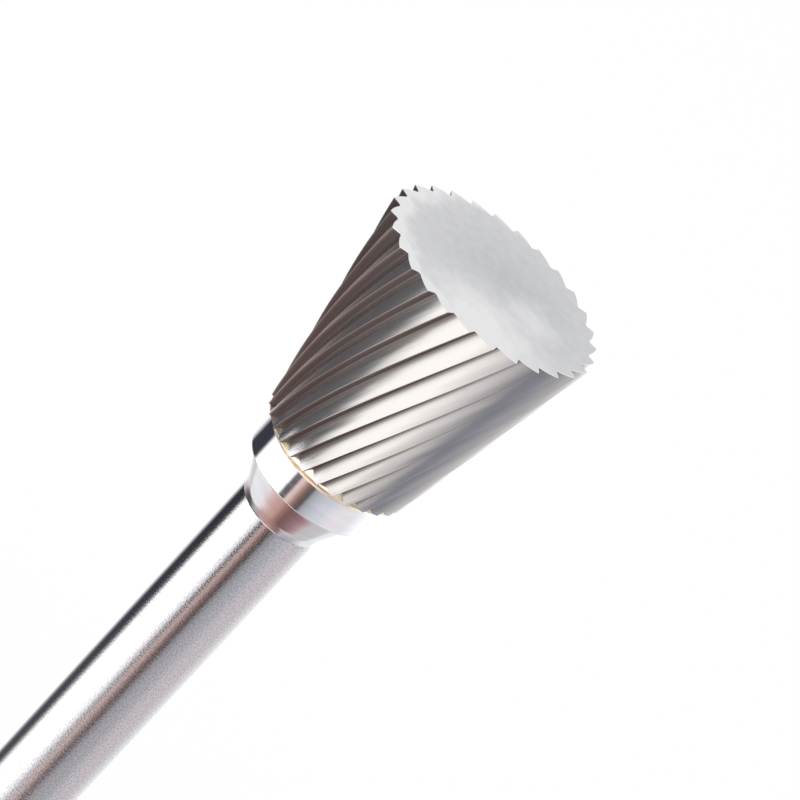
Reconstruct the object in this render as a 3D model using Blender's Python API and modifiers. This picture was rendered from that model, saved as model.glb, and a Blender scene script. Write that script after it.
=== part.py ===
# Inverted-cone carbide burr for a die grinder.
#
# Three pieces stand on one axis. A steel shank is turned with a neck and a collar at its
# upper end, a thin layer of brazing alloy lies on the collar, and a sintered carbide head
# with helical teeth is brazed on top, its wide end outwards.
#
# Units are metres. +Z runs up the axis, from the shank's end at z = 0 to the head's end face.

from math import acos, atan2, cos, hypot, pi, radians, sin, tan

import bmesh
import bpy
from mathutils import Matrix

# Shank: the ground length that a collet holds
SHANK_DIAMETER = 0.0060
SHANK_LENGTH = 0.03945
SHANK_END_CHAMFER = 0.0004

# Neck: left by the lathe a little thicker than the ground shank, flaring up to the collar
NECK_END_DIAMETER = 0.00606
NECK_LENGTH = 0.0029
NECK_FILLET_RADIUS = 0.0018
COLLAR_SHOULDER = 0.00036

# Collar: carries the head
COLLAR_DIAMETER = 0.0092
COLLAR_LENGTH = 0.0022

# Braze: the layer of alloy between collar and head
BRAZE_THICKNESS = 0.00065

# Head: diameters are over the tooth tips
HEAD_LENGTH = 0.0158
HEAD_END_DIAMETER = 0.0160
HEAD_BASE_DIAMETER = 0.01084

# Teeth: sizes at the end face, and they shrink with the head's radius towards its base
TOOTH_COUNT = 28
TOOTH_DEPTH = 0.0006
TOOTH_FACE_WIDTH = 0.00030
TOOTH_BACK_CROWN = 0.00004
GULLET_RADIUS = 0.00018
HELIX_ANGLE = radians(21.5)

# Fineness of the faceted surfaces
TURNED_STEPS = 72
FILLET_STEPS = 6
MENISCUS_STEPS = 5
HELIX_LEVELS = 18
SHARP_EDGE = radians(25)

# Heights up the axis
NECK_Z = SHANK_LENGTH
COLLAR_Z = NECK_Z + NECK_LENGTH
BRAZE_Z = COLLAR_Z + COLLAR_LENGTH
HEAD_Z = BRAZE_Z + BRAZE_THICKNESS


def clear_scene():
    for old in list(bpy.data.objects):
        bpy.data.objects.remove(old, do_unlink=True)


def make_material(name, colour, metallic, roughness):
    material = bpy.data.materials.new(name)
    material.use_nodes = True
    shader = material.node_tree.nodes["Principled BSDF"]
    shader.inputs["Base Color"].default_value = (*colour, 1.0)
    shader.inputs["Metallic"].default_value = metallic
    shader.inputs["Roughness"].default_value = roughness
    return material


def add_object(name, mesh, height, material, collection, parent):
    """Put a mesh in the collection, standing on the axis at a height."""
    mesh.materials.append(material)
    piece = bpy.data.objects.new(name, mesh)
    piece.location.z = height
    piece.parent = parent
    collection.objects.link(piece)
    return piece


def profile_mesh(name, points):
    """A half section: the points run down the outer side, from the axis back to the axis."""
    mesh = bpy.data.meshes.new(name)
    vertices = [(radius, 0.0, height) for radius, height in points]
    edges = [(i, i + 1) for i in range(len(points) - 1)]
    mesh.from_pydata(vertices, edges, [])
    return mesh


def turn(piece):
    """Turn a half section about the axis, as a lathe does, and mark the corners it leaves."""
    screw = piece.modifiers.new("Turned", "SCREW")
    screw.axis = "Z"
    screw.angle = 2 * pi
    screw.steps = TURNED_STEPS
    screw.render_steps = TURNED_STEPS
    screw.use_merge_vertices = True
    screw.merge_threshold = 0.000001
    half_section = piece.data
    turned = piece.evaluated_get(bpy.context.evaluated_depsgraph_get())
    piece.data = bpy.data.meshes.new_from_object(turned)
    piece.modifiers.remove(screw)
    bpy.data.meshes.remove(half_section)
    shade(piece.data)


def shade(mesh):
    """Smooth round surfaces, with crisp corners."""
    mesh.shade_smooth()
    mesh.set_sharp_from_angle(angle=SHARP_EDGE)


def neck_curve():
    """The neck's side, from the collar's shoulder down to the shank.

    A cone leaves the shoulder and runs into a hollow fillet, which ends along the shank.
    """
    foot_radius = NECK_END_DIAMETER / 2
    rise = COLLAR_DIAMETER / 2 - COLLAR_SHOULDER - foot_radius
    largest_fillet = (rise ** 2 + NECK_LENGTH ** 2) / (2 * rise)
    fillet = min(NECK_FILLET_RADIUS, largest_fillet)
    across = fillet - rise
    bearing = atan2(NECK_LENGTH, across)
    cone_angle = bearing - acos(fillet / hypot(across, NECK_LENGTH))
    points = [(foot_radius + rise, COLLAR_Z)]
    for i in range(FILLET_STEPS, -1, -1):
        turned = cone_angle * i / FILLET_STEPS
        points.append((foot_radius + fillet * (1 - cos(turned)), NECK_Z + fillet * sin(turned)))
    return points


def make_shank(collection, parent):
    shank_radius = SHANK_DIAMETER / 2
    collar_radius = COLLAR_DIAMETER / 2
    points = [(0.0, BRAZE_Z), (collar_radius, BRAZE_Z), (collar_radius, COLLAR_Z)]
    points += neck_curve()
    points += [
        (shank_radius, NECK_Z),
        (shank_radius, SHANK_END_CHAMFER),
        (shank_radius - SHANK_END_CHAMFER, 0.0),
        (0.0, 0.0),
    ]
    steel = make_material("ground_steel", (0.60, 0.60, 0.61), 1.0, 0.28)
    shank = add_object("steel_shank", profile_mesh("steel_shank", points), 0.0, steel, collection, parent)
    turn(shank)
    return shank


def make_braze(collection, parent):
    """The alloy wets the collar's rim and the gullets' floor, with a hollow side between them."""
    collar_radius = COLLAR_DIAMETER / 2
    gullet_share = 1 - TOOTH_DEPTH / (HEAD_END_DIAMETER / 2)
    spread = HEAD_BASE_DIAMETER / 2 * gullet_share - collar_radius
    points = [(0.0, BRAZE_THICKNESS)]
    for i in range(MENISCUS_STEPS + 1):
        turned = pi / 2 * i / MENISCUS_STEPS
        points.append((collar_radius + spread * (1 - sin(turned)), BRAZE_THICKNESS * cos(turned)))
    points.append((0.0, 0.0))
    brass = make_material("brazing_alloy", (0.78, 0.60, 0.28), 1.0, 0.30)
    braze = add_object("braze_joint", profile_mesh("braze_joint", points), BRAZE_Z, brass, collection, parent)
    turn(braze)
    return braze


def tooth_outline():
    """One tooth, unrolled: distance round from its tip, and height above the tip circle.

    A steep face drops to the gullet, and a gentle, slightly crowned back climbs to the next tip.
    """
    pitch = pi * HEAD_END_DIAMETER / TOOTH_COUNT
    back_width = pitch - TOOTH_FACE_WIDTH
    face_length = hypot(TOOTH_FACE_WIDTH, TOOTH_DEPTH)
    back_length = hypot(back_width, TOOTH_DEPTH)
    face_slope = atan2(TOOTH_DEPTH, TOOTH_FACE_WIDTH)
    back_slope = atan2(TOOTH_DEPTH, back_width)
    half_corner = (pi - face_slope - back_slope) / 2
    cut_back = min(GULLET_RADIUS / tan(half_corner), face_length / 2)
    arc_radius = cut_back * tan(half_corner)
    up_face = 1 - cut_back / face_length
    up_back = cut_back / back_length
    corner_to_arc = arc_radius / sin(half_corner) - arc_radius
    middle_bearing = face_slope + half_corner
    return [
        (0.0, 0.0),
        (TOOTH_FACE_WIDTH * up_face, -TOOTH_DEPTH * up_face),
        (
            TOOTH_FACE_WIDTH - corner_to_arc * cos(middle_bearing),
            -TOOTH_DEPTH + corner_to_arc * sin(middle_bearing),
        ),
        (TOOTH_FACE_WIDTH + back_width * up_back, -TOOTH_DEPTH * (1 - up_back)),
        (TOOTH_FACE_WIDTH + back_width / 2, -TOOTH_DEPTH / 2 + TOOTH_BACK_CROWN),
    ]


def end_face_points():
    """The whole toothed outline at the end face, with a tip on +X."""
    tip_radius = HEAD_END_DIAMETER / 2
    points = []
    for tooth in range(TOOTH_COUNT):
        tip_angle = 2 * pi * tooth / TOOTH_COUNT
        for round_distance, height in tooth_outline():
            angle = tip_angle + round_distance / tip_radius
            radius = tip_radius + height
            points.append((radius * cos(angle), radius * sin(angle), HEAD_LENGTH))
    return points


def tip_radius_at(height):
    end_radius = HEAD_END_DIAMETER / 2
    base_radius = HEAD_BASE_DIAMETER / 2
    return base_radius + (end_radius - base_radius) * height / HEAD_LENGTH


def make_head(collection, parent):
    """Sweep the toothed outline from the end face down to the base.

    Each step moves the outline down, shrinks it to the cone and turns it, so that the
    teeth keep the same helix angle all the way.
    """
    shape = bmesh.new()
    corners = [shape.verts.new(point) for point in end_face_points()]
    outline = [shape.edges.new((corners[i - 1], corners[i])) for i in range(len(corners))]
    bmesh.ops.contextual_create(shape, geom=outline)
    step = HEAD_LENGTH / HELIX_LEVELS
    for level in range(HELIX_LEVELS):
        upper = HEAD_LENGTH - step * level
        shrink = tip_radius_at(upper - step) / tip_radius_at(upper)
        twist = -tan(HELIX_ANGLE) * step / tip_radius_at(upper - step / 2)
        move = (
            Matrix.Translation((0.0, 0.0, -step))
            @ Matrix.Rotation(twist, 4, "Z")
            @ Matrix.Diagonal((shrink, shrink, 1.0, 1.0))
        )
        swept = bmesh.ops.extrude_edge_only(shape, edges=outline)["geom"]
        outline = [item for item in swept if isinstance(item, bmesh.types.BMEdge)]
        lower_corners = [item for item in swept if isinstance(item, bmesh.types.BMVert)]
        bmesh.ops.transform(shape, matrix=move, verts=lower_corners)
    bmesh.ops.contextual_create(shape, geom=outline)
    bmesh.ops.recalc_face_normals(shape, faces=shape.faces)
    mesh = bpy.data.meshes.new("carbide_head")
    shape.to_mesh(mesh)
    shape.free()
    shade(mesh)
    carbide = make_material("ground_carbide", (0.50, 0.50, 0.51), 1.0, 0.32)
    return add_object("carbide_head", mesh, HEAD_Z, carbide, collection, parent)


def build():
    clear_scene()
    collection = bpy.data.collections.new("carbide_burr")
    bpy.context.scene.collection.children.link(collection)
    axis = bpy.data.objects.new("burr_axis", None)
    collection.objects.link(axis)
    make_shank(collection, axis)
    make_braze(collection, axis)
    make_head(collection, axis)


build()
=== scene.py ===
# %% [markdown]
# # A carbide burr for a die grinder
#
# This lesson dresses a imported CAD model of a small cutting tool. The burr is three pieces on
# one axis: a fluted head of tungsten carbide, a thin joint of golden brazing alloy, and a
# turned steel shank. All of it is bright metal, so most of the lesson is about two things:
# the fine shape that each piece has, and what its surface reflects.
#
# The CAD model comes first. It gives every size and place, in metres, and nothing in it is
# moved. The box round it is kept.

# %% Load the imported model
import random
from math import acos, atan2, cos, hypot, log, pi, radians, sin, tan

import bpy
from mathutils import Matrix, Vector


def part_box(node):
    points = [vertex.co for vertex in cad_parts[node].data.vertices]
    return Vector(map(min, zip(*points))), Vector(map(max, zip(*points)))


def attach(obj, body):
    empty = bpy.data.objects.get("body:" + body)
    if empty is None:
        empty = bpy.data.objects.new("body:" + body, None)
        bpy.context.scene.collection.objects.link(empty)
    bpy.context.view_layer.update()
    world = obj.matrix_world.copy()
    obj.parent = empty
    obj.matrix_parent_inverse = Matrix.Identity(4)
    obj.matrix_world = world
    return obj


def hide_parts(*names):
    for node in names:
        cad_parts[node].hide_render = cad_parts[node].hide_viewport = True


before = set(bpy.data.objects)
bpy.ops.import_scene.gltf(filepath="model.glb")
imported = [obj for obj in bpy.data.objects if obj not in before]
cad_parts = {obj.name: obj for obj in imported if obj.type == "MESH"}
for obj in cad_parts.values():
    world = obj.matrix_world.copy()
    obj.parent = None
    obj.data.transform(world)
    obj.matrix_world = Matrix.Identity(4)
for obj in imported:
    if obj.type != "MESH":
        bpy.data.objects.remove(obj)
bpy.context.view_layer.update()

print("Nodes:", sorted(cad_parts))

# %% [markdown]
# A machinist reads a burr in millimetres, so the lesson does too, and one factor turns them
# into metres. The ends of the pieces and the radii of the head and the collar come from the
# boxes of the CAD nodes. The other sizes are given as numbers. The form of the teeth can't be
# read from a box, so it repeats the values that the model was made with.

# %% Sizes, in millimetres
MM = 0.001


def extent(node):
    """The lowest height, highest height and outer radius of a round CAD node, in millimetres."""
    low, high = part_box(node)
    return low[2] / MM, high[2] / MM, max(high[0], high[1]) / MM


HEAD_BOTTOM, HEAD_TOP, HEAD_RADIUS = extent("carbide_head")
BRAZE_BOTTOM, BRAZE_TOP, _ = extent("braze_joint")
_, SHANK_TOP, COLLAR_RADIUS = extent("steel_shank")
HEAD_LENGTH = HEAD_TOP - HEAD_BOTTOM

HEAD_BASE_RADIUS = 5.42
TOOTH_COUNT = 28
TOOTH_DEPTH = 0.60
TOOTH_FACE_WIDTH = 0.30
TOOTH_BACK_CROWN = 0.04
GULLET_RADIUS = 0.18
HELIX_ANGLE = radians(21.5)
TOOTH_PITCH = 2 * pi * HEAD_RADIUS / TOOTH_COUNT

SHANK_RADIUS = 3.0
NECK_FOOT_RADIUS = 3.03
NECK_BOTTOM = 39.45
COLLAR_BOTTOM = 42.35
COLLAR_SHOULDER = 0.36
NECK_FILLET = 1.8
SHANK_CHAMFER = 0.4

print(f"Head {HEAD_LENGTH:.2f} long, {2 * HEAD_RADIUS:.2f} across, teeth {TOOTH_PITCH:.3f} apart")
print(f"Collar {2 * COLLAR_RADIUS:.2f} across, braze {BRAZE_TOP - BRAZE_BOTTOM:.2f} thick")

# %% [markdown]
# Two small helpers serve every material. Colours are written the way a colour picker shows
# them, as sRGB hex, but light adds up in linear values, so each one is converted. And a node
# is added in one line: its kind, its settings, and what its inputs take, which is either a
# plain value or another node's output.

# %% Helpers for colours and nodes
def linear(hex_colour, gain=1.0):
    """An sRGB hex colour as linear red, green, blue and alpha."""
    parts = [int(hex_colour[i : i + 2], 16) / 255 for i in (1, 3, 5)]
    decoded = [p / 12.92 if p <= 0.04045 else ((p + 0.055) / 1.055) ** 2.4 for p in parts]
    return (*[gain * d for d in decoded], 1.0)


def add_node(tree, kind, settings=None, **inputs):
    """Add a node. Inputs are named with _ for spaces, or in_0, in_1 and so on by number."""
    node = tree.nodes.new(kind)
    for name, value in (settings or {}).items():
        setattr(node, name, value)
    for name, value in inputs.items():
        key = int(name[3:]) if name.startswith("in_") else name.replace("_", " ")
        socket = node.inputs[key]
        if isinstance(value, bpy.types.NodeSocket):
            tree.links.new(value, socket)
        else:
            socket.default_value = value
    return node


def new_material(name):
    """An empty node material, with its tree and its output node."""
    material = bpy.data.materials.new(name)
    material.use_nodes = True
    material.node_tree.nodes.clear()
    output = add_node(material.node_tree, "ShaderNodeOutputMaterial")
    return material, material.node_tree, output


print("Mid grey is", [round(v, 3) for v in linear("#808080")])

# %% [markdown]
# ## The camera
#
# The burr stands upright in its own frame, but the picture shows it leaning to the right. So
# the camera is rolled, not the burr. It stands 350 mm off, looks down by almost 26 degrees,
# and has a long lens, which keeps the perspective flat. Everything is set from one place
# that is easy to find in a picture: the middle of the head's end face.

# %% Place the camera
PICTURE_SIDE = 800
CAMERA_DISTANCE = 350.0
CAMERA_ELEVATION = radians(25.87)
CAMERA_ROLL = radians(42.70)
CAMERA_AZIMUTH = radians(-7.57)
END_FACE_PIXEL = (494.70, 280.42)
PIXELS_PER_MM = 16.38

lens_data = bpy.data.cameras.new("camera")
lens_data.sensor_width = 36.0
lens_data.lens = PIXELS_PER_MM * CAMERA_DISTANCE / PICTURE_SIDE * lens_data.sensor_width
camera = bpy.data.objects.new("camera", lens_data)
bpy.context.scene.collection.objects.link(camera)

facing = (
    Matrix.Rotation(CAMERA_AZIMUTH, 3, "Z")
    @ Matrix.Rotation(pi / 2 - CAMERA_ELEVATION, 3, "X")
    @ Matrix.Rotation(CAMERA_ROLL, 3, "Z")
)
half = PICTURE_SIDE / 2
end_face_seen = Vector((
    (END_FACE_PIXEL[0] - half) / PIXELS_PER_MM,
    (half - END_FACE_PIXEL[1]) / PIXELS_PER_MM,
    -CAMERA_DISTANCE,
))
place = Vector((0.0, 0.0, HEAD_TOP)) - facing @ end_face_seen
camera.matrix_world = Matrix.Translation(place * MM) @ facing.to_4x4()
bpy.context.scene.camera = camera
print(f"Lens {lens_data.lens:.1f} mm, camera at", [round(v, 1) for v in place])

# %% [markdown]
# ## The studio
#
# Small tools are often photographed on a white table under one large soft lamp. The table is
# pure white for the camera and still keeps the burr's shadow: a part of its white is ordinary
# paper, which the lamp and the world light. The world is plain white too.

# %% White table and soft lamp
TABLE_SIDE = 3.0
GLOW_SHARE = 0.8
table_mesh = bpy.data.meshes.new("table")
corner = TABLE_SIDE / 2
table_mesh.from_pydata(
    [(-corner, -corner, 0), (corner, -corner, 0), (corner, corner, 0), (-corner, corner, 0)],
    [], [(0, 1, 2, 3)])
table = bpy.data.objects.new("table", table_mesh)
bpy.context.scene.collection.objects.link(table)
table.visible_glossy = False

white_paper, tree, output = new_material("white_paper")
path = add_node(tree, "ShaderNodeLightPath")
looked_at = add_node(tree, "ShaderNodeMath", {"operation": "MAXIMUM"},
                     in_0=path.outputs["Is Camera Ray"], in_1=path.outputs["Is Transmission Ray"])
share = add_node(tree, "ShaderNodeMath", {"operation": "MULTIPLY"},
                 in_0=looked_at.outputs[0], in_1=GLOW_SHARE)
paper = add_node(tree, "ShaderNodeBsdfDiffuse", Color=linear("#FCFCFC"))
glow = add_node(tree, "ShaderNodeEmission", Color=linear("#FFFFFF"), Strength=1.0)
both = add_node(tree, "ShaderNodeMixShader",
                in_0=share.outputs[0], in_1=paper.outputs[0], in_2=glow.outputs[0])
tree.links.new(both.outputs[0], output.inputs["Surface"])
table_mesh.materials.append(white_paper)

SOFTBOX_SIDE = 1000
SOFTBOX_WATTS = 3.0
SOFTBOX_PLACE = Vector((-120, 60, 700))
lamp_data = bpy.data.lights.new("overhead_softbox", "AREA")
lamp_data.size = SOFTBOX_SIDE * MM
lamp_data.energy = SOFTBOX_WATTS
lamp = bpy.data.objects.new("overhead_softbox", lamp_data)
bpy.context.scene.collection.objects.link(lamp)
lamp.location = SOFTBOX_PLACE * MM
lamp.rotation_mode = "QUATERNION"
lamp.rotation_quaternion = (Vector((0, 0, 30)) - SOFTBOX_PLACE).to_track_quat("-Z", "Y")
lamp.visible_glossy = False  # a reflection passes through a lamp and would count both whites
print("Table", TABLE_SIDE, "m across, softbox", SOFTBOX_SIDE, "mm across")

# %% [markdown]
# Bright metal has hardly a colour of its own. It shows what stands around it, and round a
# small tool that is white paper, the dark of the room behind it, and the warm wood and hands
# at the photographer's side. So the world holds five rings of such surroundings, one under the
# other, and reflections look them up by direction. They light nothing.
#
# A ring is a list of bearings, in degrees from the camera's side and positive to the right,
# with the colour and the brightness there. An upright side mirrors the ring that lies as far
# below the horizon as the camera is above it. The neck flares, so its cone and its fillet
# mirror the two lowest rings.

# %% Surroundings that the metal mirrors
BRIGHTEST = 3.0  # the rings are stored divided by this, and the world's strength brings it back
WORLD_LIGHT = 0.67  # the white that lights the burr and the table
RINGS = {
    # name: (sine of the height where it starts, and where it is complete, stops)
    # A stop is a bearing, a colour, and a gain that makes it brighter than white paper.
    "beside_the_collar": (0.03, -0.10, [
        (-180, "#FFFFFF", 1.0), (-156, "#F4F4FA", 1.0), (-149, "#C8C8CE", 1.0),
        (-138, "#44444E", 1.0), (-102, "#44444E", 1.0), (-95, "#FFFFFF", 1.4),
        (-86, "#FFFFFF", 3.0), (-42, "#FFFFFF", 3.0), (-33, "#FFFFFF", 2.0),
        (-25, "#FAFBFF", 1.6), (-21, "#746C6E", 1.0), (-13.5, "#746C6E", 1.0),
        (-9.5, "#FFE6DE", 1.05), (-5, "#FFDED5", 1.0), (0, "#CCA498", 1.0), (6, "#93736A", 1.0),
        (12, "#6C5F5E", 1.0), (14.5, "#766C6E", 1.0), (18.5, "#BABCC0", 1.0),
        (25, "#CCD0D6", 1.0), (32, "#DFE0E5", 1.0), (44, "#EEF0F9", 1.0), (52, "#F2F4FC", 1.0),
        (63, "#FFFBFF", 1.05), (75, "#FFF8FC", 1.13), (100, "#FFF8FC", 1.15),
        (127, "#FFFFFF", 1.42), (155, "#FFFFFF", 1.7), (180, "#FFFFFF", 1.0),
    ]),
    "beside_the_shank": (-0.483, -0.498, [
        (-180, "#FFFFFF", 1.0), (-156, "#F4F4FA", 1.0), (-148, "#B4B4BA", 1.0),
        (-135, "#66666E", 1.0), (-119, "#66666E", 1.0), (-110, "#A2A2A8", 1.0),
        (-102, "#FFFFFF", 1.5), (-91, "#FFFFFF", 3.0), (-42, "#FFFFFF", 3.0),
        (-30, "#FFFFFF", 2.0), (-22, "#FFFCFC", 1.4), (-14, "#FFF0EE", 1.2),
        (-7, "#FFE4E0", 1.0), (-1, "#D9BBB8", 1.0), (5, "#A28C8C", 1.0), (9, "#8A7678", 1.0),
        (14, "#9A8A90", 1.0), (20, "#CABEC4", 1.0), (28, "#E0DADF", 1.0), (38, "#ECE8EE", 1.0),
        (50, "#F0EEF4", 1.0), (63, "#FFFAFF", 1.1), (75, "#FFF8FC", 1.18),
        (100, "#FFF8FC", 1.16), (127, "#FFFFFF", 1.42), (155, "#FFFFFF", 1.7),
        (180, "#FFFFFF", 1.0),
    ]),
    "under_the_head": (-0.54, -0.57, [
        (-180, "#FFFFFF", 1.1), (-142, "#E4E0E0", 1.0), (-126, "#AE9E9B", 1.0),
        (-112, "#7C7070", 1.0), (-100, "#686264", 1.0), (-62, "#68686A", 1.0),
        (-48, "#707072", 1.0), (-39, "#8E8C8C", 1.0), (-32, "#D0CECC", 1.0),
        (-25, "#FFFDF9", 1.5), (4, "#FFFDF9", 1.5), (18, "#FFFCFA", 1.15), (30, "#E4E0E2", 1.0),
        (47, "#A2A4AE", 1.0), (60, "#AAACB6", 1.0), (80, "#D0CED2", 1.0), (110, "#FFFFFF", 1.1),
        (180, "#FFFFFF", 1.1),
    ]),
    "at_its_foot": (-0.70, -0.77, [
        (-180, "#FFFFFF", 1.15), (-75, "#FFFCFE", 1.15), (-50, "#D6C4C0", 1.0),
        (-25, "#DBB0A6", 1.0), (0, "#CB978A", 1.0), (14, "#AE7F78", 1.0), (28, "#A27A7C", 1.0),
        (40, "#DCD0D4", 1.0), (60, "#E8E0E4", 1.0), (110, "#E0DCDE", 1.0), (180, "#F0F0F0", 1.0),
    ]),
    "straight_below": (-0.87, -0.93, [
        (-180, "#FFFFFF", 1.1), (-98, "#FFFFFF", 1.1), (-86, "#FFF0F0", 1.1),
        (-72, "#F6D6D2", 1.0), (-50, "#E8BDB5", 1.0), (-25, "#DBB0A6", 1.0), (0, "#B68A80", 1.0),
        (28, "#916B68", 1.0), (55, "#977476", 1.0), (78, "#B08C8E", 1.0), (90, "#C7A0A2", 1.0),
        (103, "#DCC0C2", 1.0), (116, "#E8E0E2", 1.0), (180, "#FFFFFF", 1.1),
    ]),
}

world = bpy.data.worlds.new("white_studio")
bpy.context.scene.world = world
world.use_nodes = True
tree = world.node_tree
tree.nodes.clear()
direction = add_node(tree, "ShaderNodeTexCoord")
from_camera_side = add_node(tree, "ShaderNodeVectorRotate", {"rotation_type": "Z_AXIS"},
                            Vector=direction.outputs["Generated"], Angle=-CAMERA_AZIMUTH)
split = add_node(tree, "ShaderNodeSeparateXYZ", Vector=from_camera_side.outputs[0])
towards = add_node(tree, "ShaderNodeMath", {"operation": "MULTIPLY"},
                   in_0=split.outputs["Y"], in_1=-1.0)
bearing = add_node(tree, "ShaderNodeMath", {"operation": "ARCTAN2"},
                   in_0=split.outputs["X"], in_1=towards.outputs[0])
turn = add_node(tree, "ShaderNodeMath", {"operation": "MULTIPLY_ADD"},
                in_0=bearing.outputs[0], in_1=1 / (2 * pi), in_2=0.5)
mirrored = linear("#FFFFFF", 1 / BRIGHTEST)
for name, (start, complete, stops) in RINGS.items():
    ring = add_node(tree, "ShaderNodeValToRGB", {"label": name}, Fac=turn.outputs[0])
    stops = [(at / 360 + 0.5, linear(colour, gain / BRIGHTEST)) for at, colour, gain in stops]
    first, last = ring.color_ramp.elements[0], ring.color_ramp.elements[1]
    first.position, first.color = stops[0]
    last.position, last.color = stops[-1]
    for at, colour in stops[1:-1]:
        ring.color_ramp.elements.new(at).color = colour
    below = add_node(tree, "ShaderNodeMapRange", {"interpolation_type": "SMOOTHSTEP"},
                     Value=split.outputs["Z"], From_Min=start, From_Max=complete)
    layered = add_node(tree, "ShaderNodeMix", {"data_type": "RGBA"}, in_0=below.outputs[0],
                       in_6=mirrored, in_7=ring.outputs[0])
    mirrored = layered.outputs[2]
    print(f"{name}: {len(stops)} stops")

path = add_node(tree, "ShaderNodeLightPath")
looked_at = add_node(tree, "ShaderNodeMath", {"operation": "MAXIMUM"},
                     in_0=path.outputs["Is Camera Ray"], in_1=path.outputs["Is Transmission Ray"])
level = add_node(tree, "ShaderNodeMapRange", Value=looked_at.outputs[0],
                 To_Min=WORLD_LIGHT, To_Max=1.0)
white = add_node(tree, "ShaderNodeBackground", Color=linear("#FFFFFF"), Strength=level.outputs[0])
rings = add_node(tree, "ShaderNodeBackground", Color=mirrored, Strength=BRIGHTEST)
either = add_node(tree, "ShaderNodeMixShader", in_0=path.outputs["Is Glossy Ray"],
                  in_1=white.outputs[0], in_2=rings.outputs[0])
add_node(tree, "ShaderNodeOutputWorld", Surface=either.outputs[0])

# %% [markdown]
# The head leans outwards over the shank, and it stands nearer to what it mirrors: the dark
# on one side of it and the bright window on the other lie elsewhere than they do for the
# shank. So it gets a card of its own, bent into a ring at the height of the head and painted
# in the same way. Only reflections see it.

# %% A card round the head
CARD_RADIUS = 14.0
CARD_BOTTOM = 40.05  # any lower, and the collar would mirror the card too
CARD_FACET = 2  # degrees
CARD_STOPS = [
    (-180, "#CCA8A2", 1.5), (-128, "#C8A29C", 1.15), (-115, "#A08C89", 1.1), (-102, "#746C6C", 1.0),
    (-84, "#6A6669", 1.0), (-64, "#707072", 1.0), (-55, "#828284", 1.0), (-48, "#9E9C9E", 1.0),
    (-43, "#E0DEDC", 1.0), (-37, "#FFFDF9", 1.35), (-29, "#FFFDF9", 1.6), (2, "#FFFDF9", 1.6),
    (9, "#FFFCF8", 1.4), (18, "#FFFCFA", 1.12), (27, "#F2EEEE", 1.0), (34, "#D8D4D6", 1.0),
    (40, "#BCBABE", 1.0), (47, "#989AA4", 1.0), (54, "#9A9DA8", 1.0), (61, "#ACAEB8", 1.0),
    (73, "#C4C2C8", 1.0), (82, "#D2D0D4", 1.0), (98, "#F0EEF0", 1.0), (120, "#FFFFFF", 1.5),
    (165, "#FFFFFF", 1.5), (180, "#CCA8A2", 1.5),
]

points, colours = [], []
for (start, *first), (end, *last) in zip(CARD_STOPS, CARD_STOPS[1:]):
    parts = max(1, round((end - start) / CARD_FACET))
    for i in range(parts):
        mixed = [a + (b - a) * i / parts for a, b in zip(linear(*first), linear(*last))]
        angle = CAMERA_AZIMUTH + radians(start + (end - start) * i / parts) - pi / 2
        for height in (CARD_BOTTOM, HEAD_TOP):
            points.append((CARD_RADIUS * cos(angle) * MM, CARD_RADIUS * sin(angle) * MM, height * MM))
            colours += mixed
count = len(points)
card_mesh = bpy.data.meshes.new("head_card")
card_mesh.from_pydata(points, [], [(i, i + 1, (i + 3) % count, (i + 2) % count)
                                   for i in range(0, count, 2)])
card_mesh.color_attributes.new("paint", "FLOAT_COLOR", "POINT").data.foreach_set("color", colours)
painted_card, tree, output = new_material("painted_card")
paint = add_node(tree, "ShaderNodeVertexColor", {"layer_name": "paint"})
glow = add_node(tree, "ShaderNodeEmission", Color=paint.outputs["Color"], Strength=1.0)
tree.links.new(glow.outputs[0], output.inputs["Surface"])
card_mesh.materials.append(painted_card)
head_card = bpy.data.objects.new("head_card", card_mesh)
bpy.context.scene.collection.objects.link(head_card)
head_card.visible_camera = head_card.visible_diffuse = head_card.visible_shadow = False
head_card.visible_transmission = head_card.visible_volume_scatter = False
print("Card round the head:", len(card_mesh.polygons), "facets")

# %% [markdown]
# ## Building round pieces
#
# All three pieces are rows of points that run once round the axis. One function joins such
# rows with four-sided faces and closes both ends. It also lays out texture coordinates in
# real millimetres, round the piece and along it, so that later a grinding mark can be given
# the width that it has on the real tool.

# %% Helper that skins rows of points
def skin(name, rows, around, along, finishes, finish_of_row, cap_finish=(0, 0), sharp=32):
    """Mesh object from closed rows of points, lowest first, all in millimetres.

    around holds one more distance than a row has points, and along has one for each row.
    """
    count = len(rows[0])
    points = [(x * MM, y * MM, z * MM) for row in rows for x, y, z in row]
    faces, corners, marks = [], [], []
    for r in range(len(rows) - 1):
        for i in range(count):
            j = (i + 1) % count
            faces.append((r * count + i, r * count + j, (r + 1) * count + j, (r + 1) * count + i))
            corners += [(around[i], along[r]), (around[i + 1], along[r]),
                        (around[i + 1], along[r + 1]), (around[i], along[r + 1])]
            marks.append(finish_of_row[r])
    for row, mark in ((0, cap_finish[0]), (len(rows) - 1, cap_finish[1])):
        ring = [row * count + i for i in range(count)]
        faces.append(ring[::-1] if row == 0 else ring)
        corners += [(rows[row][k - row * count][0], rows[row][k - row * count][1])
                    for k in faces[-1]]
        marks.append(mark)
    mesh = bpy.data.meshes.new(name)
    mesh.from_pydata(points, [], faces)
    layout = mesh.uv_layers.new(name="millimetres")
    for loop, uv in zip(layout.data, corners):
        loop.uv = uv
    for finish in finishes:
        mesh.materials.append(finish)
    mesh.polygons.foreach_set("material_index", marks)
    mesh.shade_smooth()
    mesh.set_sharp_from_angle(angle=radians(sharp))
    piece = bpy.data.objects.new(name, mesh)
    bpy.context.scene.collection.objects.link(piece)
    print(f"{name}: {sum(len(f) - 2 for f in faces)} triangles")
    return piece
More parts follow.
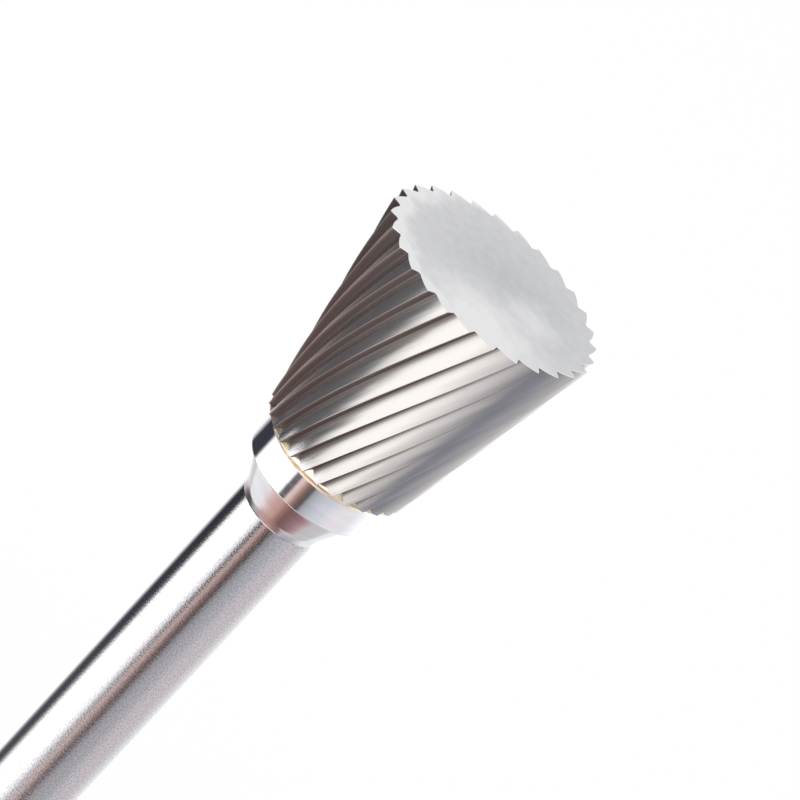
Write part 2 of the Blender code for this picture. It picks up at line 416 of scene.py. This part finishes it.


# %% [markdown]
# ## The carbide head
#
# The head is sintered from tungsten carbide powder and then ground with a diamond wheel. The
# wheel cuts one flute at a time and leaves its marks along the flute. So the flanks shine
# softly across the marks. The cutting faces and the floors keep a thin film from the heat of
# brazing, which makes them duller, and their colour is painted darker: shade in the flutes,
# with a trace of brown from the heat. Carbide is a medium grey metal to the eye, a little
# darker than steel.

# %% Finish: diamond-ground carbide flutes
def ground_carbide():
    material, tree, output = new_material("diamond_ground_carbide")
    place = add_node(tree, "ShaderNodeUVMap", {"uv_map": "millimetres"})
    split = add_node(tree, "ShaderNodeSeparateXYZ", Vector=place.outputs["UV"])

    # Wheel marks are about 0.1 mm apart and run for 6 mm or more along the flute. Under them
    # lie gentle waves, about 1 mm wide and 4 mm long, that bend the edges of a reflection.
    stretched = add_node(tree, "ShaderNodeVectorMath", {"operation": "MULTIPLY"},
                         in_0=place.outputs["UV"], in_1=(9.0, 0.16, 1.0))
    marks = add_node(tree, "ShaderNodeTexNoise", {"noise_dimensions": "2D"},
                     Vector=stretched.outputs[0], Scale=1.0, Detail=3.0, Roughness=0.6)
    waves = add_node(tree, "ShaderNodeVectorMath", {"operation": "MULTIPLY"},
                     in_0=place.outputs["UV"], in_1=(0.9, 0.25, 1.0))
    waviness = add_node(tree, "ShaderNodeTexNoise", {"noise_dimensions": "2D"},
                        Vector=waves.outputs[0], Scale=1.0, Detail=1.0)
    fine = add_node(tree, "ShaderNodeBump", Strength=0.5, Distance=0.008 * MM,
                    Height=marks.outputs["Fac"])
    wavy = add_node(tree, "ShaderNodeBump", Strength=0.8, Distance=0.055 * MM,
                    Height=waviness.outputs["Fac"], Normal=fine.outputs[0])

    # The colour across each tooth, from its edge over the floor to the next edge, in mm. The
    # cutting face and the floor are painted darker, as shade in the flute with a trace of brown
    # from brazing heat, and the dark band is wider close to the joint. At the edge itself the
    # colour is painted a little darker, to dim its highlight.
    across = add_node(tree, "ShaderNodeMath", {"operation": "MODULO"},
                      in_0=split.outputs["X"], in_1=TOOTH_PITCH)
    narrowed = add_node(tree, "ShaderNodeMapRange", Value=split.outputs["Y"],
                        From_Min=HEAD_BOTTOM / cos(HELIX_ANGLE),
                        From_Max=(HEAD_BOTTOM + 7.0) / cos(HELIX_ANGLE),
                        To_Min=0.74 / TOOTH_PITCH, To_Max=1.0 / TOOTH_PITCH)
    share = add_node(tree, "ShaderNodeMath", {"operation": "MULTIPLY"},
                     in_0=across.outputs[0], in_1=narrowed.outputs[0])
    flute_shade_and_heat_tint = add_node(tree, "ShaderNodeValToRGB", Fac=share.outputs[0])
    ramp = flute_shade_and_heat_tint.color_ramp
    ramp.elements[0].position, ramp.elements[0].color = 0.0, linear("#9C9896")
    ramp.elements[1].position, ramp.elements[1].color = 1.0, linear("#B4B1AF")
    for place_mm, colour in ((0.05, "#6C605E"), (0.14, "#625654"), (0.24, "#665C5B"),
                             (0.38, "#7C7473"), (0.50, "#9C9795"), (0.64, "#BEBBB9"),
                             (0.85, "#CAC8C7"), (1.05, "#CECCCB"), (1.72, "#CECCCB")):
        ramp.elements.new(place_mm / TOOTH_PITCH).color = linear(colour)
    # The backs are ground fine and bright. A film of flux and oxide from the brazing stays on
    # the cutting faces and the floors, which are duller under it.
    bared = add_node(tree, "ShaderNodeMapRange", Value=share.outputs[0],
                     From_Min=0.42 / TOOTH_PITCH, From_Max=0.70 / TOOTH_PITCH,
                     To_Min=0.7, To_Max=1.0)
    dulled = add_node(tree, "ShaderNodeMapRange", Value=share.outputs[0],
                      From_Min=0.40 / TOOTH_PITCH, From_Max=0.80 / TOOTH_PITCH,
                      To_Min=0.30, To_Max=0.0)
    sheen = add_node(tree, "ShaderNodeMath", {"operation": "MULTIPLY_ADD"},
                     in_0=marks.outputs["Fac"], in_1=0.2, in_2=0.12)
    roughness = add_node(tree, "ShaderNodeMath", {"operation": "ADD"},
                         in_0=dulled.outputs[0], in_1=sheen.outputs[0])
    shader = add_node(tree, "ShaderNodeBsdfPrincipled", Base_Color=flute_shade_and_heat_tint.outputs[0],
                      Metallic=bared.outputs[0], Roughness=roughness.outputs[0],
                      Normal=wavy.outputs[0])
    tree.links.new(shader.outputs[0], output.inputs["Surface"])
    return material


def faced_carbide():
    material, tree, output = new_material("faced_carbide_end")
    place = add_node(tree, "ShaderNodeUVMap", {"uv_map": "millimetres"})

    # The face is ground flat on a plate, without a direction, and looks like pale satin. Soft
    # paler patches are painted on it as reflections of brighter light. Each is a distance from a
    # point, in mm, that a noise of about 2 mm makes uneven.
    drift = add_node(tree, "ShaderNodeTexNoise", {"noise_dimensions": "2D"},
                     Vector=place.outputs["UV"], Scale=0.5, Detail=3.0)
    wavered = add_node(tree, "ShaderNodeVectorMath", {"operation": "MULTIPLY_ADD"},
                       in_0=drift.outputs["Color"], in_1=(2.6, 2.6, 0.0), in_2=place.outputs["UV"])
    shade = 0.0
    for where, far, near, strength in (((1.9, -4.4, 0.0), 6.3, 0.0, 0.66),
                                       ((4.2, 0.1, 0.0), 3.2, 0.4, 0.46),
                                       ((2.4, 1.5, 0.0), 7.0, 8.6, 0.60)):
        away = add_node(tree, "ShaderNodeVectorMath", {"operation": "DISTANCE"},
                        in_0=wavered.outputs[0], in_1=where)
        reflection_patch = add_node(tree, "ShaderNodeMapRange", {"interpolation_type": "SMOOTHSTEP"},
                         Value=away.outputs["Value"], From_Min=far, From_Max=near, To_Max=strength)
        shade = add_node(tree, "ShaderNodeMath", {"operation": "MAXIMUM"},
                         in_0=shade, in_1=reflection_patch.outputs[0]).outputs[0]
    # The whole face is painted a little darker towards its middle: painted shade.
    from_middle = add_node(tree, "ShaderNodeVectorMath", {"operation": "DISTANCE"},
                           in_0=place.outputs["UV"], in_1=(1.2, 0.6, 0.0))
    shaded_middle = add_node(tree, "ShaderNodeMath", {"operation": "MULTIPLY_ADD"},
                      in_0=from_middle.outputs["Value"], in_1=0.045, in_2=shade)
    # Clouds of 0.8 mm lie over all of it, and a grain of about 0.1 mm breaks up the shine.
    clouds = add_node(tree, "ShaderNodeTexNoise", {"noise_dimensions": "2D"},
                      Vector=place.outputs["UV"], Scale=1.3, Detail=4.0)
    shade = add_node(tree, "ShaderNodeMath", {"operation": "MULTIPLY_ADD"},
                     in_0=clouds.outputs["Fac"], in_1=0.3, in_2=shaded_middle.outputs[0])
    tone = add_node(tree, "ShaderNodeValToRGB", Fac=shade.outputs[0])
    tone.color_ramp.elements[0].color = linear("#B8B9BC")
    tone.color_ramp.elements[1].color = linear("#E8E8E9")
    grain = add_node(tree, "ShaderNodeTexNoise", {"noise_dimensions": "2D"},
                     Vector=place.outputs["UV"], Scale=9.0, Detail=2.0)
    bump = add_node(tree, "ShaderNodeBump", Strength=0.15, Distance=0.01 * MM,
                    Height=grain.outputs["Fac"])
    shader = add_node(tree, "ShaderNodeBsdfPrincipled", Base_Color=tone.outputs[0],
                      Metallic=1.0, Roughness=0.38, Normal=bump.outputs[0])
    tree.links.new(shader.outputs[0], output.inputs["Surface"])
    return material


flutes = ground_carbide()
end_face = faced_carbide()
print("Finishes:", flutes.name, end_face.name)

# %% [markdown]
# A tooth is a saw tooth: a steep cutting face, a rounded floor, and a long gentle back that
# climbs to the next edge. The section is laid out flat first, as distance round the head and
# height below the tips, with its corners rounded as a used wheel rounds them. The back is
# crowned by a few hundredths of a millimetre, which is what makes each reflection fade across
# the tooth instead of filling it evenly.

# %% Section of one tooth
LAND_WIDTH = 0.03
LAND_DROP = 0.005
TIP_ROUNDING = 0.02
HEEL_ROUNDING = 0.02
FACE_MIDDLE_SHIFT = (-0.02, 0.03)
BACK_STEPS = 7


def round_corner(before, corner, after, radius, steps):
    """Points of an arc that rounds a corner between two straight runs."""
    ways, lengths = [], []
    for end in (before, after):
        dx, dy = end[0] - corner[0], end[1] - corner[1]
        lengths.append(hypot(dx, dy))
        ways.append((dx / lengths[-1], dy / lengths[-1]))
    bend = abs(atan2(ways[0][0] * ways[1][1] - ways[0][1] * ways[1][0],
                     ways[0][0] * ways[1][0] + ways[0][1] * ways[1][1])) / 2
    cut_back = min(radius / tan(bend), 0.45 * min(lengths))
    start = (corner[0] + ways[0][0] * cut_back, corner[1] + ways[0][1] * cut_back)
    end = (corner[0] + ways[1][0] * cut_back, corner[1] + ways[1][1] * cut_back)
    points = []
    for i in range(steps + 1):
        t = i / steps
        points.append(tuple(
            (1 - t) ** 2 * a + 2 * t * (1 - t) * b + t ** 2 * c
            for a, b, c in zip(start, corner, end)))
    return points


def tooth_section():
    tip = (0.0, 0.0)
    floor = (TOOTH_FACE_WIDTH, -TOOTH_DEPTH)
    heel = (TOOTH_PITCH - LAND_WIDTH, -LAND_DROP)
    heel_before = (heel[0] - TOOTH_PITCH, heel[1])
    next_tip = (TOOTH_PITCH, 0.0)
    section = round_corner(heel_before, tip, floor, TIP_ROUNDING, 2)
    section.append(tuple((a + b) / 2 + c for a, b, c in zip(tip, floor, FACE_MIDDLE_SHIFT)))
    section += round_corner(tip, floor, heel, GULLET_RADIUS, 5)
    start, end = section[-1], round_corner(floor, heel, next_tip, HEEL_ROUNDING, 2)
    for i in range(1, BACK_STEPS):
        t = i / BACK_STEPS
        x = start[0] + (end[0][0] - start[0]) * t
        y = start[1] + (end[0][1] - start[1]) * t + 4 * TOOTH_BACK_CROWN * t * (1 - t)
        section.append((x, y))
    return section + end


section = tooth_section()
print(len(section), "points a tooth, deepest", round(min(y for _, y in section), 3), "mm")

# %% [markdown]
# The section is then carried round and down the cone. Towards the small end the teeth shrink
# with the radius, and each level is turned a little further back, so that the edge always
# crosses the axis at the same helix angle. On a cone that turn grows with the logarithm of
# the radius, and so the flutes curl more tightly near the base.

# %% Build the fluted head
HEAD_LEVELS = 80
RIM_BREAK = 0.04
cone = (HEAD_RADIUS - HEAD_BASE_RADIUS) / HEAD_LENGTH


def head_row(height, inset=0.0):
    radius_here = HEAD_RADIUS - cone * (HEAD_TOP - height)
    shrink = radius_here / HEAD_RADIUS
    turned = tan(HELIX_ANGLE) / cone * log(shrink)
    row = []
    for tooth in range(TOOTH_COUNT):
        for x, y in section:
            angle = turned + (tooth * TOOTH_PITCH + x) / HEAD_RADIUS
            radius = (HEAD_RADIUS + y) * shrink - inset
            row.append((radius * cos(angle), radius * sin(angle), height))
    return row


heights = [HEAD_BOTTOM + (HEAD_LENGTH - RIM_BREAK) * i / HEAD_LEVELS for i in range(HEAD_LEVELS + 1)]
rows = [head_row(height) for height in heights] + [head_row(HEAD_TOP, RIM_BREAK)]
around = [tooth * TOOTH_PITCH + x for tooth in range(TOOTH_COUNT) for x, _ in section]
around.append(TOOTH_COUNT * TOOTH_PITCH + section[0][0])
along = [height / cos(HELIX_ANGLE) for height in heights] + [HEAD_TOP / cos(HELIX_ANGLE)]
head = skin("fluted_head", rows, around, along, [flutes, end_face],
            [0] * HEAD_LEVELS + [1], cap_finish=(0, 1))
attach(head, "root")
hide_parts("carbide_head")

# %% [markdown]
# ## The brazed joint
#
# Head and shank are joined with a silver and copper brazing alloy, which melts below either
# of them. It stays pale gold. Surface tension draws the melt into a hollow fillet between the
# two rims, and a little way up the mouth of every flute, where it sets as a bright drop.

# %% Finish: brazing alloy as it set
def brazing_alloy():
    material, tree, output = new_material("silver_brazing_alloy")
    place = add_node(tree, "ShaderNodeTexCoord")

    # Paler, silvery patches are about 1 mm across. The skin set in ripples of about 0.4 mm.
    # These two scales count from metres, because the coordinates are the object's own.
    patches = add_node(tree, "ShaderNodeTexNoise", Vector=place.outputs["Object"],
                       Scale=900.0, Detail=2.0)
    tone = add_node(tree, "ShaderNodeValToRGB", Fac=patches.outputs["Fac"])
    tone.color_ramp.elements[0].position = 0.35
    tone.color_ramp.elements[0].color = linear("#F4E0B2")
    tone.color_ramp.elements[1].position = 0.65
    tone.color_ramp.elements[1].color = linear("#FFF9E9")
    ripple = add_node(tree, "ShaderNodeTexNoise", Vector=place.outputs["Object"],
                      Scale=2500.0, Detail=1.0)
    bump = add_node(tree, "ShaderNodeBump", Strength=0.4, Distance=0.03 * MM,
                    Height=ripple.outputs["Fac"])
    shader = add_node(tree, "ShaderNodeBsdfPrincipled", Base_Color=tone.outputs[0],
                      Metallic=1.0, Roughness=0.30, Normal=bump.outputs[0])
    tree.links.new(shader.outputs[0], output.inputs["Surface"])
    return material


# %% [markdown]
# The joint is one ring of rows. The lower rows are the hollow fillet between the rims. The
# upper ones are a low collar of melt that the teeth stand in, so only the drops between the
# teeth show. The melt rose to a different height in each flute. A seeded generator picks the
# heights, so every run gives the same joint.

# %% Build the braze ring
BRAZE_STEPS = 448
FILLET_ROWS = 8
POOL_ROWS = 8
POOL_THICKNESS = 0.27
POOL_SINK = 0.03
CLIMB_RANGE = (0.20, 0.50)
dice = random.Random(7)
climbs = [dice.uniform(*CLIMB_RANGE) for _ in range(TOOTH_COUNT)]
gullet_share = 1 - TOOTH_DEPTH / HEAD_RADIUS
spread = HEAD_BASE_RADIUS * gullet_share + POOL_THICKNESS - COLLAR_RADIUS


def climb_at(angle):
    """How far the melt rose up the flutes at a bearing, eased between neighbours."""
    place = angle / (2 * pi) * TOOTH_COUNT
    i = int(place) % TOOTH_COUNT
    t = place - int(place)
    t = t * t * (3 - 2 * t)
    return climbs[i] * (1 - t) + climbs[(i + 1) % TOOTH_COUNT] * t


def braze_point(angle, radius, height):
    return (radius * cos(angle), radius * sin(angle), height)


angles = [2 * pi * i / BRAZE_STEPS for i in range(BRAZE_STEPS)]
rows = []
for r in range(FILLET_ROWS + 1):
    bent = pi / 2 * (1 - r / FILLET_ROWS)
    rows.append([braze_point(a, COLLAR_RADIUS + spread * (1 - sin(bent)),
                             BRAZE_BOTTOM + (BRAZE_TOP - BRAZE_BOTTOM) * cos(bent)) for a in angles])
for r in range(1, POOL_ROWS + 1):
    t = r / POOL_ROWS
    row = []
    for a in angles:
        height = BRAZE_TOP + climb_at(a) * t
        floor_radius = (HEAD_BASE_RADIUS + cone * (height - HEAD_BOTTOM)) * gullet_share
        proud = POOL_THICKNESS * (1 - t * t) - POOL_SINK * t
        row.append(braze_point(a, floor_radius + proud, height))
    rows.append(row)
around = [COLLAR_RADIUS * 2 * pi * i / BRAZE_STEPS for i in range(BRAZE_STEPS + 1)]
along = [row[0][2] for row in rows]
braze = skin("braze_ring", rows, around, along, [brazing_alloy()], [0] * (len(rows) - 1))
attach(braze, "root")
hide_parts("braze_joint")

# %% [markdown]
# ## The steel shank
#
# The shank is ground between wheels to slide into a collet, which leaves a fine dull grain.
# Its upper end is only turned, and polished: a collar that carries the joint, and a neck that
# runs down from it in a hollow curve. So one piece has two finishes. The grain is a bump of a
# few thousandths of a millimetre, and it tears the edges of every reflection.

# %% Finishes: ground steel and turned steel
def ground_steel():
    material, tree, output = new_material("centreless_ground_steel")
    place = add_node(tree, "ShaderNodeUVMap", {"uv_map": "millimetres"})

    # Real grinding scratches are finer. They are drawn about 0.13 mm wide, so that they show.
    stretched = add_node(tree, "ShaderNodeVectorMath", {"operation": "MULTIPLY"},
                         in_0=place.outputs["UV"], in_1=(8.0, 7.0, 1.0))
    grain = add_node(tree, "ShaderNodeTexNoise", {"noise_dimensions": "2D"},
                     Vector=stretched.outputs[0], Scale=1.0, Detail=1.0, Roughness=0.6)
    bump = add_node(tree, "ShaderNodeBump", Strength=0.8, Distance=0.005 * MM,
                    Height=grain.outputs["Fac"])
    tone = add_node(tree, "ShaderNodeValToRGB", Fac=grain.outputs["Fac"])
    tone.color_ramp.elements[0].position = 0.3
    tone.color_ramp.elements[0].color = linear("#A5A3A6")
    tone.color_ramp.elements[1].position = 0.7
    tone.color_ramp.elements[1].color = linear("#C1C0C2")
    shader = add_node(tree, "ShaderNodeBsdfPrincipled", Base_Color=tone.outputs[0],
                      Metallic=1.0, Roughness=0.13, Normal=bump.outputs[0])
    tree.links.new(shader.outputs[0], output.inputs["Surface"])
    return material


def turned_steel():
    material, tree, output = new_material("turned_polished_steel")
    place = add_node(tree, "ShaderNodeUVMap", {"uv_map": "millimetres"})

    # Polish leaves a trace of the turning: bands about 0.6 mm wide that run round the piece,
    # also drawn coarser than they are. It mirrors clearly, with a faint waver.
    stretched = add_node(tree, "ShaderNodeVectorMath", {"operation": "MULTIPLY"},
                         in_0=place.outputs["UV"], in_1=(0.5, 1.6, 1.0))
    lines = add_node(tree, "ShaderNodeTexNoise", {"noise_dimensions": "2D"},
                     Vector=stretched.outputs[0], Scale=1.0, Detail=3.0)
    bump = add_node(tree, "ShaderNodeBump", Strength=0.4, Distance=0.02 * MM,
                    Height=lines.outputs["Fac"])
    tone = add_node(tree, "ShaderNodeValToRGB", Fac=lines.outputs["Fac"])
    tone.color_ramp.elements[0].position = 0.3
    tone.color_ramp.elements[0].color = linear("#D2D3D6")
    tone.color_ramp.elements[1].position = 0.7
    tone.color_ramp.elements[1].color = linear("#DADBDD")
    shader = add_node(tree, "ShaderNodeBsdfPrincipled", Base_Color=tone.outputs[0],
                      Metallic=1.0, Roughness=0.08, Normal=bump.outputs[0])
    tree.links.new(shader.outputs[0], output.inputs["Surface"])
    return material


# %% [markdown]
# A turned piece is a profile spun round its axis. The neck is worked out from its two ends and
# its fillet radius: a circle that leaves the shank in a slight crease, and a straight cone
# that touches the circle and runs up to the collar. The lower edge of the collar is rounded.

# %% Build the shank
TURNED_STEPS = 256
GROUND, POLISHED = 0, 1
NECK_CREASE = radians(14)
FILLET_STEPS = 20
CONE_STEPS = 6


def neck_profile():
    """The neck's side from the shank up: a crease, a fillet, a cone to the collar's shoulder."""
    rise = COLLAR_RADIUS - COLLAR_SHOULDER - NECK_FOOT_RADIUS
    length = COLLAR_BOTTOM - NECK_BOTTOM
    fillet = min(NECK_FILLET, (rise ** 2 + length ** 2) / (2 * rise))
    across = fillet - rise
    reach = hypot(across, length)
    cone_angle = atan2(length, across) - acos(fillet / reach)
    points = []
    for i in range(FILLET_STEPS + 1):
        bent = NECK_CREASE + (cone_angle - NECK_CREASE) * i / FILLET_STEPS
        points.append((NECK_FOOT_RADIUS + fillet * (1 - cos(bent)), NECK_BOTTOM + fillet * sin(bent)))
    top = (COLLAR_RADIUS - COLLAR_SHOULDER, COLLAR_BOTTOM)
    last = points[-1]
    for i in range(1, CONE_STEPS + 1):
        t = i / CONE_STEPS
        points.append((last[0] + (top[0] - last[0]) * t, last[1] + (top[1] - last[1]) * t))
    return points


SUPPORT = 0.04
COLLAR_EDGE = 0.09
CHAMFER_EDGE = 0.03
GROUND_ROWS = 40


def shank_profile():
    """Radius, height and finish up the side of the whole piece.

    A row close beside each corner keeps the rounding of the light to the corner itself.
    """
    ground = [(SHANK_RADIUS - SHANK_CHAMFER, 0.0),
              (SHANK_RADIUS - CHAMFER_EDGE, SHANK_CHAMFER - CHAMFER_EDGE),
              (SHANK_RADIUS, SHANK_CHAMFER + 0.05)]
    run_start, run_end = SHANK_CHAMFER + 0.1, NECK_BOTTOM - SUPPORT
    ground += [(SHANK_RADIUS, run_start + (run_end - run_start) * i / GROUND_ROWS)
               for i in range(GROUND_ROWS + 1)]
    neck = neck_profile()
    beside = (SHANK_RADIUS + (neck[0][0] - SHANK_RADIUS) * 0.1,
              NECK_BOTTOM + (neck[0][1] - NECK_BOTTOM) * 0.1)
    polished = [(SHANK_RADIUS, NECK_BOTTOM), beside] + neck
    shoulder = (COLLAR_RADIUS - COLLAR_SHOULDER, COLLAR_BOTTOM)
    lower, upper = (COLLAR_RADIUS, COLLAR_BOTTOM), (COLLAR_RADIUS, SHANK_TOP)
    polished += round_corner(shoulder, lower, upper, COLLAR_EDGE, 4)
    polished += [(COLLAR_RADIUS, COLLAR_BOTTOM + COLLAR_EDGE + SUPPORT),
                 (COLLAR_RADIUS, SHANK_TOP)]
    return [(r, z, GROUND) for r, z in ground] + [(r, z, POLISHED) for r, z in polished]


profile = shank_profile()
angles = [2 * pi * i / TURNED_STEPS for i in range(TURNED_STEPS)]
rows = [[(r * cos(a), r * sin(a), z) for a in angles] for r, z, _ in profile]
around = [SHANK_RADIUS * 2 * pi * i / TURNED_STEPS for i in range(TURNED_STEPS + 1)]
along = [z for _, z, _ in profile]
shank = skin("turned_shank", rows, around, along, [ground_steel(), turned_steel()],
             [finish for _, _, finish in profile[:-1]], cap_finish=(GROUND, POLISHED))
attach(shank, "root")
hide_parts("steel_shank")

# %% [markdown]
# ## Finish
#
# The colours are shown as they are, without a film look.

bpy.context.scene.view_settings.view_transform = "Standard"
